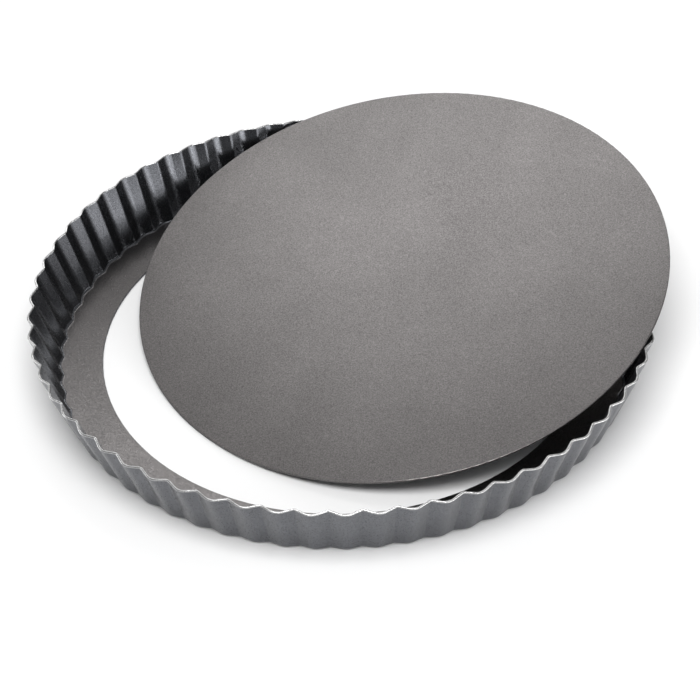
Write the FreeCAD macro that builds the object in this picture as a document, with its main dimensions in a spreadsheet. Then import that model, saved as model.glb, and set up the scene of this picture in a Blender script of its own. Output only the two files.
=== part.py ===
import FreeCAD, Part

# A two-piece loose-base tart pan: a fluted ring with an inward ledge, and a flat round base
# that lies propped across the ring.
#
# Frame: millimetres, +Z up. The origin is the centre of the ring's underside, so the pan
# stands on Z = 0, and one of the wall's creases is on +X.

import math
import os

import Sketcher
from FreeCAD import Placement, Rotation, Vector

# alias, value, what it measures; lengths in millimetres, angles in degrees
DIMENSIONS = (
    ("sheet_thickness", 1.0, "coated steel sheet of both pieces"),
    ("flute_count", 63, "flutes round the wall"),
    ("ring_height", 31.1, "underside to the rim's top, over a crease"),
    ("wall_flare", 17.6, "angle of the wall to the vertical"),
    ("rim_crease_radius", 137.0, "axis to a crease's inner surface, at the rim"),
    ("rim_flute_depth", 2.1, "crease to lobe, at the rim"),
    ("foot_flute_depth", 1.4, "crease to lobe, at the ledge"),
    ("crease_bend", 2.3, "radius of the inner surface over a crease"),
    ("lobe_bend", 6.0, "radius of the inner surface in a lobe"),
    ("foot_bend", 1.5, "inner radius from the ledge to the wall"),
    ("hole_radius", 109.3, "round hole inside the ledge"),
    ("hole_edge_round", 0.3, "rounding of the hole's edges"),
    ("base_radius", 122.1, "loose base"),
    ("base_edge_round", 0.3, "rounding of the loose base's edges"),
    ("base_lean", 11.0, "angle of the propped base to the level"),
    ("base_lean_direction", 41.0, "from +X towards +Y, to the base's high side"),
    ("base_shift", 35.0, "ring's axis to the base's middle, towards its high side"),
    ("base_table_gap", 0.2, "table to the base's low edge"),
)

SEWING_TOLERANCE = 0.001
UP = Vector(0, 0, 1)

doc = FreeCAD.newDocument("tart_pan")
sheet = doc.addObject("Spreadsheet::Sheet", "Dimensions")
for row, (alias, value, meaning) in enumerate(DIMENSIONS, start=1):
    sheet.set(f"A{row}", alias)
    sheet.set(f"B{row}", str(value))
    sheet.set(f"C{row}", meaning)
    sheet.setAlias(f"B{row}", alias)
doc.recompute()


def turned(radius, angle, height=0.0):
    return Vector(radius * math.cos(angle), radius * math.sin(angle), height)


# --- fluted_ring: the pressed sheet, one flute at a time ---------------------------------
#
# The wall's surfaces are stretched over level flute lines. A line has four stretches: the arc
# over the crease on +X, a straight flank, the arc of the lobe and the flank back to the next
# crease. Each stretch is its control points with their weights.


def flute_line(crease_radius, depth, offset, height=0.0, drop=0.0):
    """The four stretches of one flute.

    offset moves the line outwards and leaves it parallel to itself. height is the crease's;
    the line drops by drop for each millimetre it stands further out.
    """
    crease_middle = crease_radius + sheet.crease_bend
    lobe_middle = crease_radius + depth - sheet.lobe_bend
    crease_arc_radius = sheet.crease_bend - offset
    lobe_arc_radius = sheet.lobe_bend + offset

    crease_centre = Vector(crease_middle, 0, 0)
    lobe_centre = turned(lobe_middle, half_pitch)
    across = lobe_centre - crease_centre
    spread = math.acos((sheet.crease_bend + sheet.lobe_bend) / across.Length)
    flank_normal = math.atan2(across.y, across.x) + spread
    crease_half_angle = math.pi - flank_normal
    lobe_half_angle = half_pitch + crease_half_angle

    def placed(point):
        radius = math.hypot(point.x, point.y)
        return Vector(point.x, point.y, height - drop * (radius - crease_radius - offset))

    def next_side(point):
        """The point mirrored about the lobe's middle."""
        return turned(math.hypot(point.x, point.y), 2 * half_pitch - math.atan2(point.y, point.x))

    flank_start = crease_centre + turned(crease_arc_radius, flank_normal)
    flank_end = lobe_centre + turned(lobe_arc_radius, flank_normal - math.pi)
    before_crease = Vector(flank_start.x, -flank_start.y, 0)
    crease_corner = Vector(crease_middle - crease_arc_radius / math.cos(crease_half_angle), 0, 0)
    lobe_corner = turned(lobe_middle + lobe_arc_radius / math.cos(lobe_half_angle), half_pitch)

    stretches = (
        ((before_crease, crease_corner, flank_start), (1, math.cos(crease_half_angle), 1)),
        ((flank_start, flank_end), (1, 1)),
        ((flank_end, lobe_corner, next_side(flank_end)), (1, math.cos(lobe_half_angle), 1)),
        ((next_side(flank_end), next_side(flank_start)), (1, 1)),
    )
    return [([placed(point) for point in points], weights) for points, weights in stretches]


def sheet_faces(lines, line_weights, knots, knot_counts):
    """Four faces whose control rows are a flute's lines; weighted rows bend them in true arcs."""
    faces = []
    for stretch in zip(*lines):
        points_along = len(stretch[0][0])
        surface = Part.BSplineSurface()
        surface.buildFromPolesMultsKnots(
            [points for points, weights in stretch],
            knot_counts,
            (points_along, points_along),
            knots,
            (0, 1),
            False,
            False,
            knot_counts[0] - 1,
            points_along - 1,
            [
                [line_weight * weight for weight in weights]
                for line_weight, (points, weights) in zip(line_weights, stretch)
            ],
        )
        faces.append(surface.toShape())
    return faces


def straight_faces(lines):
    return sheet_faces(lines, (1, 1), (0, 1), (2, 2))


def arc_faces(lines, arc_angle):
    """lines are the arc's start, the corner where its end tangents meet, and its end."""
    return sheet_faces(lines, (1, math.cos(arc_angle / 2), 1), (0, 1), (3, 3))


def half_round_faces(lines):
    """lines are a half-circle's start, corner, top, corner and end."""
    corner = math.cos(math.pi / 4)
    return sheet_faces(lines, (1, corner, 1, corner, 1), (0, 1, 2), (3, 2, 3))


def line_edges(line):
    edges = []
    for points, weights in line:
        curve = Part.BSplineCurve()
        count = len(points)
        curve.buildFromPolesMultsKnots(points, (count, count), (0, 1), False, count - 1, weights)
        edges.append(curve.toShape())
    return edges


def foot_line(offset, height):
    return flute_line(foot_crease_radius, sheet.foot_flute_depth, offset, height)


def rim_line(along_normal, along_wall):
    """A line at the rim, measured from the inner surface's end across and along the wall."""
    offset = along_normal * math.cos(flare) + along_wall * math.sin(flare)
    height = rim_inner_height - along_normal * math.sin(flare) + along_wall * math.cos(flare)
    return flute_line(
        sheet.rim_crease_radius, sheet.rim_flute_depth, offset, height, math.tan(flare)
    )


flare = math.radians(sheet.wall_flare)
half_pitch = math.pi / sheet.flute_count
half_thickness = sheet.sheet_thickness / 2
rim_inner_height = sheet.ring_height - half_thickness + half_thickness * math.sin(flare)
wall_height = rim_inner_height - sheet.sheet_thickness
foot_crease_radius = sheet.rim_crease_radius - wall_height * math.tan(flare)

# The foot's two arcs are concentric, above the bend's start.
bend_angle = math.pi / 2 - flare
bend_start = -sheet.foot_bend * math.tan(bend_angle / 2)
bend_centre_height = sheet.sheet_thickness + sheet.foot_bend


def bend_lines(radius):
    floor_height = bend_centre_height - radius
    return (
        foot_line(bend_start, floor_height),
        foot_line(bend_start + radius * math.tan(bend_angle / 2), floor_height),
        foot_line(
            bend_start + radius * math.sin(bend_angle),
            bend_centre_height - radius * math.cos(bend_angle),
        ),
    )


inner_bend = bend_lines(sheet.foot_bend)
outer_bend = bend_lines(sheet.foot_bend + sheet.sheet_thickness)
nose = (
    rim_line(0, 0),
    rim_line(0, half_thickness),
    rim_line(half_thickness, half_thickness),
    rim_line(sheet.sheet_thickness, half_thickness),
    rim_line(sheet.sheet_thickness, 0),
)
flute_faces = (
    arc_faces(inner_bend, bend_angle)
    + straight_faces((inner_bend[-1], nose[0]))
    + half_round_faces(nose)
    + straight_faces((outer_bend[-1], nose[-1]))
    + arc_faces(outer_bend, bend_angle)
)


def all_round(shapes):
    """Copies of one flute's shapes, for every flute of the ring."""
    copies = []
    for index in range(int(sheet.flute_count)):
        for shape in shapes:
            copy = shape.copy()
            copy.rotate(Vector(), UP, index * 360 / sheet.flute_count)
            copies.append(copy)
    return copies


faces = all_round(flute_faces)
for bend in (inner_bend, outer_bend):
    faces.append(Part.Face(Part.Wire(all_round(line_edges(bend[0])))))
shell = Part.makeShell(faces)
shell.sewShape(SEWING_TOLERANCE)
pressing_solid = Part.makeSolid(shell)
if pressing_solid.Volume < 0:
    pressing_solid.reverse()

pressing = doc.addObject("Part::Feature", "pressing")
pressing.Shape = pressing_solid

punch = doc.addObject("Part::Cylinder", "punch")
punch.setExpression("Radius", "Dimensions.hole_radius")
punch.setExpression("Height", "3 * Dimensions.sheet_thickness")
punch.setExpression("Placement.Base.z", "-Dimensions.sheet_thickness")

punched = doc.addObject("Part::Cut", "punched")
punched.Base = pressing
punched.Tool = punch
doc.recompute()


def hole_edges(shape):
    """Numbers of the two circles that edge the hole."""
    numbers = []
    for number, edge in enumerate(shape.Edges, start=1):
        if isinstance(edge.Curve, Part.Circle) and abs(edge.Curve.Radius - sheet.hole_radius) < 0.01:
            numbers.append(number)
    return numbers


fluted_ring = doc.addObject("Part::Fillet", "fluted_ring")
fluted_ring.Base = punched
fluted_ring.Edges = [
    (number, sheet.hole_edge_round, sheet.hole_edge_round) for number in hole_edges(punched.Shape)
]


# --- loose_base: a flat round blank, propped across the ring -----------------------------


def plane_of(body, role):
    return next(feature for feature in body.Origin.OriginFeatures if feature.Role == role)


loose_base = doc.addObject("PartDesign::Body", "loose_base")
outline = loose_base.newObject("Sketcher::SketchObject", "base_outline")
outline.AttachmentSupport = (plane_of(loose_base, "XY_Plane"), "")
outline.MapMode = "FlatFace"
outline.addGeometry(Part.Circle(Vector(), UP, 120), False)
outline.addConstraint(Sketcher.Constraint("Coincident", 0, 3, -1, 1))
outline.addConstraint(Sketcher.Constraint("Radius", 0, 120))
outline.renameConstraint(1, "base_radius")
outline.setExpression("Constraints.base_radius", "Dimensions.base_radius")
doc.recompute()

blank = loose_base.newObject("PartDesign::Pad", "base_blank")
blank.Profile = outline
blank.setExpression("Length", "Dimensions.sheet_thickness")
outline.Visibility = False
doc.recompute()

edge_rounding = loose_base.newObject("PartDesign::Fillet", "base_edge_rounding")
round_edges = [
    f"Edge{number}"
    for number, edge in enumerate(blank.Shape.Edges, start=1)
    if isinstance(edge.Curve, Part.Circle)
]
edge_rounding.Base = (blank, round_edges)
edge_rounding.setExpression("Radius", "Dimensions.base_edge_round")
doc.recompute()

# The base's low edge stands just off the table, inside the hole, and its underside crosses
# the rim at two places.
lean = math.radians(sheet.base_lean)
lean_direction = turned(1, math.radians(sheet.base_lean_direction))
low_corner = (sheet.base_radius - sheet.base_edge_round) * math.sin(lean)
corner_rise = sheet.base_edge_round * (1 - math.cos(lean))
base_middle = lean_direction * sheet.base_shift
base_middle.z = sheet.base_table_gap + low_corner + corner_rise
lean_axis = lean_direction.cross(UP)
loose_base.Placement = Placement(base_middle, Rotation(lean_axis, sheet.base_lean))


# --- the finished pieces -----------------------------------------------------------------

doc.recompute()
for item in doc.Objects:
    if "Invalid" in item.State or "Error" in item.State:
        raise RuntimeError(f"{item.Name} did not compute: {item.State}")

os.makedirs("parts", exist_ok=True)
for node in (fluted_ring, loose_base):
    node.Label = node.Name
    shape = node.Shape
    if shape.isNull() or not shape.isValid() or len(shape.Solids) != 1:
        raise RuntimeError(f"{node.Label} is not one valid solid")
    shape.exportStep(f"parts/{node.Label}.step")
    print(node.Label, "volume", round(shape.Volume), "box", shape.BoundBox)
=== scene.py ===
import math

import bpy
from mathutils import Matrix, Vector

# The scene is in metres, with +Z up; the pan stands on Z = 0 and the camera looks from -Y.
MM = 0.001

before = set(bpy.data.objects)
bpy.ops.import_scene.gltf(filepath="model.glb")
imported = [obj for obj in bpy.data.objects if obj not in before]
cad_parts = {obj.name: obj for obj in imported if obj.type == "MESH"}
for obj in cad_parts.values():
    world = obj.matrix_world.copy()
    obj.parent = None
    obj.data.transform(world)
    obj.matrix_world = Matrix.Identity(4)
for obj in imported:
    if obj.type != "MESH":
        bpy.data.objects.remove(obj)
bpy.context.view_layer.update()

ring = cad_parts["fluted_ring"]
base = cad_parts["loose_base"]


# --- materials ---------------------------------------------------------------------------


class Shader:
    """A new material, with short calls for adding and joining its nodes."""

    def __init__(self, name):
        self.material = bpy.data.materials.new(name)
        self.material.use_nodes = True
        self.tree = self.material.node_tree
        self.surface = self.tree.nodes["Principled BSDF"]

    def feed(self, socket, value):
        """Sets a socket, or links it if the value is another node's output."""
        if isinstance(value, bpy.types.NodeSocket):
            self.tree.links.new(value, socket)
        else:
            socket.default_value = value

    def add(self, kind, **sockets):
        node = self.tree.nodes.new(kind)
        for name, value in sockets.items():
            self.feed(node.inputs[name.replace("_", " ")], value)
        return node

    def calculate(self, kind, operation, *values):
        """A math node's result; the values go to its sockets in their order."""
        node = self.tree.nodes.new(kind)
        node.operation = operation
        for socket, value in zip(node.inputs, values):
            self.feed(socket, value)
        return next(socket for socket in node.outputs if socket.enabled)

    def ramp(self, factor, *stops):
        node = self.add("ShaderNodeValToRGB", Fac=factor)
        for element, (position, colour) in zip(node.color_ramp.elements, stops):
            element.position = position
            element.color = colour
        return node.outputs["Color"]

    def mixed(self, share, low, high):
        """The colour low where share is 0 and high where it is 1."""
        node = self.add("ShaderNodeMixRGB", Fac=share, Color1=low, Color2=high)
        return node.outputs["Color"]


NEUTRAL = (1.0, 1.0, 1.0)
WARM = (1.05, 1.0, 0.99)
COOL = (0.955, 0.985, 1.07)


def grey(level, tint=NEUTRAL):
    return tuple(level * part for part in tint) + (1,)


class Coat(Shader):
    """A sprayed non-stick coat: fine metallic flakes in a dark film, a little cloudy."""

    FLAKES_PER_METRE = 1700.0
    FLAKE_CONTRAST = 0.28
    GLOSS_CONTRAST = 0.12
    CLOUDS_PER_METRE = 26.0
    CLOUD_CONTRAST = 0.05
    DIMPLES_PER_METRE = 1360.0
    DIMPLE_HEIGHT = 0.05 * MM

    def __init__(self, name):
        super().__init__(name)
        self.place = self.add("ShaderNodeTexCoord").outputs["Object"]
        self.surface.inputs["Metallic"].default_value = 1.0

    def noise(self, scale):
        node = self.add("ShaderNodeTexNoise", Vector=self.place, Scale=scale, Detail=2.0)
        return node.outputs["Fac"]

    def spread(self, scale, edge, level, contrast, tint=NEUTRAL):
        """A noise round a level; it reaches its darkest and lightest at edge from 0 and 1."""
        dark = grey(level * (1 - contrast), tint)
        light = grey(level * (1 + contrast), tint)
        return self.ramp(self.noise(scale), (edge, dark), (1 - edge, light))

    def flaked(self, level, tint):
        """Colour of the flakes: fine speckle over faint clouds."""
        speckle = self.spread(self.FLAKES_PER_METRE, 0.3, level, self.FLAKE_CONTRAST, tint)
        clouds = self.spread(self.CLOUDS_PER_METRE, 0.35, 1, self.CLOUD_CONTRAST)
        return self.calculate("ShaderNodeVectorMath", "MULTIPLY", speckle, clouds)

    def gloss(self, roughness):
        """Roughness, a little less on the lighter flakes."""
        return self.spread(self.FLAKES_PER_METRE, 0.3, roughness, -self.GLOSS_CONTRAST)

    def finish(self, colour, roughness, dimples):
        height = self.noise(self.DIMPLES_PER_METRE)
        bump = self.add(
            "ShaderNodeBump", Strength=dimples, Distance=self.DIMPLE_HEIGHT, Height=height
        )
        self.feed(self.surface.inputs["Base Color"], colour)
        self.feed(self.surface.inputs["Roughness"], roughness)
        self.feed(self.surface.inputs["Normal"], bump.outputs["Normal"])
        return self.material


def base_coating():
    coat = Coat("base_coat")
    return coat.finish(coat.flaked(0.145, WARM), coat.gloss(0.34), dimples=0.3)


# The wall's slope, and where the rim's rounded nose starts: a point's height plus its
# distance from the axis times the slope is the same all along the fluted rim.
WALL_SLOPE = math.tan(math.radians(17.6))
NOSE_START = 74.2 * MM
NOSE_FADE = 0.15 * MM

# The upward parts of the normal at which the foot's bend turns into the level ledge.
BEND_UPWARD = 0.9
LEDGE_UPWARD = 0.995


def nose_highlight_share(coat):
    """1 on the rim's nose and 0 below it."""
    height = coat.add("ShaderNodeSeparateXYZ", Vector=coat.place).outputs["Z"]
    flat = coat.calculate("ShaderNodeVectorMath", "MULTIPLY", coat.place, (1, 1, 0))
    radius = coat.calculate("ShaderNodeVectorMath", "LENGTH", flat)
    measure = coat.calculate("ShaderNodeMath", "MULTIPLY_ADD", radius, WALL_SLOPE, height)
    share = coat.add(
        "ShaderNodeMapRange",
        Value=measure,
        From_Min=NOSE_START,
        From_Max=NOSE_START + NOSE_FADE,
    )
    return share.outputs["Result"]


def ledge_share(coat):
    """1 on the level ledge and 0 on the wall and the underside."""
    normal = coat.add("ShaderNodeTexCoord").outputs["Normal"]
    upward = coat.add("ShaderNodeSeparateXYZ", Vector=normal).outputs["Z"]
    return coat.ramp(upward, (BEND_UPWARD, grey(0)), (LEDGE_UPWARD, grey(1)))


def ring_coating():
    """Satin on the level ledge, smoother on the drawn wall; the ledge's warmer, darker coat is
    painted warm light from behind, and the nose's lighter coat is painted light for the rim's
    highlight line.
    """
    coat = Coat("ring_coat")
    level = ledge_share(coat)
    # The ledge's warmer, darker copy of the same coat is painted warm light falling from behind
    # on the level faces.
    film_with_painted_light = coat.mixed(level, coat.flaked(0.125, COOL), coat.flaked(0.115, WARM))
    # The nose's lighter copy of the coat (0.45) is painted light: it brightens the rim's
    # highlight line, and the coat there is the same dark film.
    colour = coat.mixed(nose_highlight_share(coat), film_with_painted_light, coat.flaked(0.45, NEUTRAL))
    roughness = coat.mixed(level, coat.gloss(0.26), coat.gloss(0.3))
    return coat.finish(colour, roughness, dimples=0.2)


coatings = (
    (ring, ring_coating(), "ring_coating"),
    (base, base_coating(), "base_coating"),
)
for node, material, slot in coatings:
    node.data.materials.clear()
    node.data.materials.append(material)


# --- floor and light ---------------------------------------------------------------------

FLOOR_SIDE = 12
PAPER_WHITE = 0.82
PAPER_ROUGHNESS = 0.9
ROOM_LEVEL = 0.3

paper = Shader("paper")
paper.feed(paper.surface.inputs["Base Color"], grey(PAPER_WHITE))
paper.feed(paper.surface.inputs["Roughness"], PAPER_ROUGHNESS)

bpy.ops.mesh.primitive_plane_add(size=FLOOR_SIDE)
floor = bpy.context.object
floor.name = "floor"
floor.data.materials.append(paper.material)

room = bpy.data.worlds.new("room")
room.use_nodes = True
walls = room.node_tree.nodes["Background"]
walls.inputs["Color"].default_value = grey(1)
walls.inputs["Strength"].default_value = ROOM_LEVEL
bpy.context.scene.world = room


def softbox(name, azimuth, elevation, size, radiance, distance=1.4):
    """A soft light aimed at the pan; azimuth is from +X towards +Y, size is width and height."""
    around = math.radians(azimuth)
    up = math.radians(elevation)
    away = Vector(
        (math.cos(around) * math.cos(up), math.sin(around) * math.cos(up), math.sin(up))
    )
    data = bpy.data.lights.new(name, "AREA")
    data.shape = "RECTANGLE"
    data.size, data.size_y = size
    data.energy = math.pi * data.size * data.size_y * radiance
    lamp = bpy.data.objects.new(name, data)
    lamp.location = away * distance
    lamp.rotation_mode = "QUATERNION"
    lamp.rotation_quaternion = away.to_track_quat("Z", "Y")
    bpy.context.scene.collection.objects.link(lamp)


# overhead gives the rim's bright line and most of the paper's light, and behind the base's
# sheen. back_wall and left_wall fill the paper and the ledge; the two low ones at the right
# and front are what the far inside of the wall reflects.
softbox("overhead", azimuth=262, elevation=69, size=(1.0, 0.75), radiance=7.3)
softbox("behind", azimuth=100, elevation=48, size=(0.66, 0.25), radiance=4.4)
softbox("back_wall", azimuth=95, elevation=13, size=(2.0, 0.55), radiance=3.0)
softbox("left_wall", azimuth=170, elevation=11, size=(1.0, 0.4), radiance=4.0)
softbox("right_wall", azimuth=345, elevation=12, size=(1.0, 0.4), radiance=6.5)
softbox("front_right", azimuth=308, elevation=12, size=(1.0, 0.4), radiance=5.5)


# --- camera ------------------------------------------------------------------------------

# The aim is a point of the rim's plane, and turn is the view's heading.
LENS = 107.7
SENSOR = 36.0
CAMERA_AIM = Vector((2.96, -39.76, 31.0)) * MM
CAMERA_DISTANCE = 904.7 * MM
CAMERA_ELEVATION = math.radians(40.44)
CAMERA_ROLL = math.radians(-1.9)
CAMERA_TURN = math.radians(1.82)

camera_data = bpy.data.cameras.new("camera")
camera_data.lens = LENS
camera_data.sensor_width = SENSOR
camera = bpy.data.objects.new("camera", camera_data)
heading = Matrix.Rotation(CAMERA_TURN, 4, "Z")
tilt = Matrix.Rotation(math.pi / 2 - CAMERA_ELEVATION, 4, "X")
roll = Matrix.Rotation(CAMERA_ROLL, 4, "Z")
reach = Matrix.Translation((0, 0, CAMERA_DISTANCE))
camera.matrix_world = heading @ Matrix.Translation(CAMERA_AIM) @ tilt @ roll @ reach
bpy.context.scene.collection.objects.link(camera)
bpy.context.scene.camera = camera

bpy.context.scene.view_settings.view_transform = "Standard"
